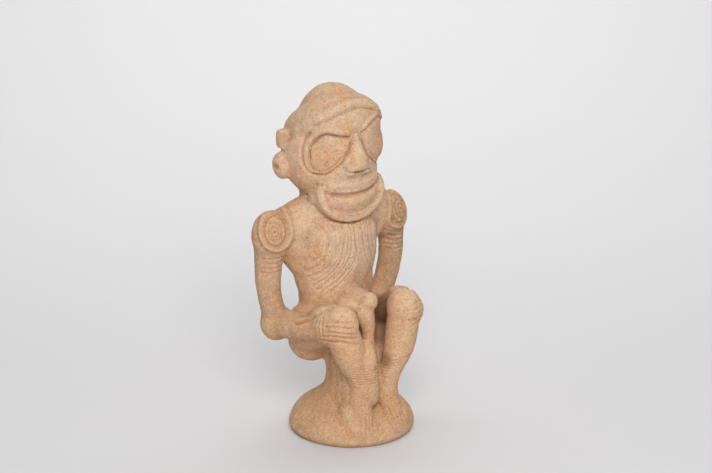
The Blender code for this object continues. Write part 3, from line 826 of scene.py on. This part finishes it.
def weathered_and_shaded(stone, colour):
    """Tints the regions, painted shade on the left arm among them, and leaves rusty patches, hollows darkened
    partly by the stone's own tint and partly by painted shade, and paler edges.
    """
    measures = {
        "sideways": stone.maths("ABSOLUTE", stone.axes["X"]),
        "X": stone.axes["X"],
        "Z": stone.axes["Z"],
    }
    for axis, start, full, share, tint in REGIONS:
        colour = stone.tint(colour, stone.spread(measures[axis], start, full, 0, share), tint)
    rusty = stone.spread(stone.noise(24, 5, 0.62, 0.8), 0.52, 0.64, 0, 0.75)
    colour = stone.tint(colour, rusty, RUST)
    hollow = stone.add("ShaderNodeAttribute", attribute_name="hollow").outputs["Fac"]
    # the hollows darken: partly the stone's own tint, partly painted shade
    colour = stone.tint(colour, stone.spread(hollow, 0.05, 0.8, 0, 0.7), SUNK)
    return stone.tint(colour, stone.spread(hollow, -0.1, -0.8, 0, 0.4), WORN)


def grained(stone, colour, mottle, grain):
    """Adds mottling and grain, both darker and paler than the stone."""
    colour = stone.tint(colour, stone.spread(mottle, 0.34, 0.5, 0.35, 0), MOTTLE_DARK)
    colour = stone.tint(colour, stone.spread(mottle, 0.52, 0.68, 0, 0.35), MOTTLE_PALE)
    colour = stone.tint(colour, stone.spread(grain, 0.34, 0.5, 0.4, 0), GRAIN_DARK)
    return stone.tint(colour, stone.spread(grain, 0.54, 0.72, 0, 0.5), GRAIN_PALE)


def open_pores(stone):
    """Where the pores are: small round pits of uneven size, crowded in places."""
    cells = stone.add("ShaderNodeTexVoronoi", {"Vector": stone.place, "Scale": 380, "Randomness": 1})
    chosen = stone.add("ShaderNodeSeparateColor", {"Color": cells.outputs["Color"]}).outputs["Red"]
    crowd = stone.spread(stone.noise(26, 2), 0.35, 0.65, 0.22, -0.05)
    size = stone.spread(stone.maths("SUBTRACT", chosen, crowd), 0.62, 1, 0, 0.34)
    return stone.maths("LESS_THAN", cells.outputs["Distance"], size)


def sandstone():
    """Light orange-brown sandstone with warm patches, a grey bloom, fine grain and open pores."""
    stone = Nodes("zemi_figure_sandstone")
    mottle = stone.noise(210, 4, 0.7)
    grain = stone.noise(700, 3, 0.7)
    pores = open_pores(stone)
    colour = stone.tinted_places(bloomed(stone), SPOTS)
    colour = grained(stone, weathered_and_shaded(stone, colour), mottle, grain)
    colour = stone.tint(colour, stone.maths("MULTIPLY", pores, 0.6), PORE)
    # painted shade in the deep slots beside the shaft
    colour = stone.tinted_places(colour, SLOT_SHADE_SPOTS)
    height = stone.maths("ADD", stone.maths("MULTIPLY", grain, 0.5), stone.maths("MULTIPLY", mottle, 0.9))
    height = stone.maths("SUBTRACT", height, stone.maths("MULTIPLY", pores, 0.5))
    bump = stone.add("ShaderNodeBump", {"Height": height, "Strength": 0.6, "Distance": 0.0011})
    roughness = stone.spread(grain, 0.3, 0.7, 0.82, 0.98)
    stone.fill(stone.surface, {
        "Base Color": colour,
        "Roughness": roughness,
        "Specular IOR Level": 0.2,
        "Normal": bump.outputs["Normal"],
    }.items())
    return stone.material


def plain(name, colour, roughness):
    material = bpy.data.materials.new(name)
    material.use_nodes = True
    surface = material.node_tree.nodes["Principled BSDF"]
    surface.inputs["Base Color"].default_value = (*colour, 1)
    surface.inputs["Roughness"].default_value = roughness
    return material


def make_skin():
    """The figure's whole skin, fused, carved, thinned, sawn flat and fitted to its solid."""
    block = bmesh.new()
    add_foot(block)
    add_column(block)
    add_torso(block)
    add_shoulders(block)
    add_tip(block)
    for side in SIDES:
        add_leg(block, side)
        add_arm(block, side)
    add_head(block)
    skin = fused(block)
    carve_all(skin)
    skin = thinned(skin)
    saw_flat(skin)
    fit_box(skin)
    mark_hollows(skin)
    return skin


def make_figure():
    skin = make_skin()
    skin.materials.clear()
    skin.materials.append(sandstone())
    figure = bpy.data.objects.new("zemi_figure_stone", skin)
    bpy.context.scene.collection.objects.link(figure)
    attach(figure, "root")
    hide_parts("zemi_figure")


def make_sweep():
    """A pale floor that curves up into the backdrop, seen from the camera's side."""
    mesh = bpy.data.meshes.new("sweep")
    sweep = bmesh.new()
    profile = [(SWEEP_FRONT, 0), (0, 0), (-SWEEP_BACK, 0)]
    bend_steps = 16
    for step in range(1, bend_steps + 1):
        angle = math.pi / 2 * step / bend_steps
        profile.append((-SWEEP_BACK - SWEEP_BEND * math.sin(angle), SWEEP_BEND * (1 - math.cos(angle))))
    profile.append((-SWEEP_BACK - SWEEP_BEND, SWEEP_TOP))
    rows = [[sweep.verts.new((x, -y, z)) for y, z in profile] for x in (-SWEEP_HALF_WIDTH, SWEEP_HALF_WIDTH)]
    for a, b, c, d in zip(rows[0], rows[0][1:], rows[1][1:], rows[1]):
        sweep.faces.new((a, b, c, d))
    bmesh.ops.recalc_face_normals(sweep, faces=sweep.faces[:])
    for face in sweep.faces:
        face.smooth = True
    sweep.to_mesh(mesh)
    sweep.free()
    mesh.materials.append(plain("sweep_paper", SWEEP_COLOUR, SWEEP_ROUGHNESS))
    floor = bpy.data.objects.new("sweep", mesh)
    floor.rotation_euler.z = math.radians(AZIMUTH)
    bpy.context.scene.collection.objects.link(floor)


def aimed(obj, place, goal):
    """Puts a light or the camera in its place, looking at the goal."""
    obj.location = place
    obj.rotation_euler = (Vector(goal) - Vector(place)).to_track_quat("-Z", "Y").to_euler()
    bpy.context.scene.collection.objects.link(obj)


def from_camera(right, away, up):
    """A place given as the camera sees it: to its right, away from it, and up."""
    angle = math.radians(AZIMUTH)
    side = Vector((math.cos(angle), math.sin(angle), 0))
    ahead = Vector((-math.sin(angle), math.cos(angle), 0))
    return side * right + ahead * away + Vector((0, 0, up))


def soft_box(name, place, goal, size, watts):
    light = bpy.data.lights.new(name, "AREA")
    light.shape = "RECTANGLE"
    light.size, light.size_y = size
    light.energy = watts
    aimed(bpy.data.objects.new(name, light), place, goal)


def make_studio():
    world = bpy.data.worlds.new("studio")
    world.use_nodes = True
    sky = world.node_tree.nodes["Background"]
    sky.inputs["Color"].default_value = (*WORLD_COLOUR, 1)
    sky.inputs["Strength"].default_value = WORLD_STRENGTH
    bpy.context.scene.world = world
    for name, place, goal, size, watts in SOFT_BOXES:
        soft_box(name, from_camera(*place), from_camera(*goal), size, watts)
    bpy.context.scene.view_settings.view_transform = "Standard"
    bpy.context.scene.view_settings.look = "None"


def make_camera():
    lens = bpy.data.cameras.new("camera")
    lens.lens = LENS_MM
    lens.sensor_width = SENSOR_MM
    camera = bpy.data.objects.new("camera", lens)
    rise = math.radians(ELEVATION)
    place = Vector(AIM) + from_camera(0, -math.cos(rise) * DISTANCE, math.sin(rise) * DISTANCE)
    aimed(camera, place, AIM)
    bpy.context.scene.camera = camera


make_camera()
make_sweep()
make_studio()
make_figure()
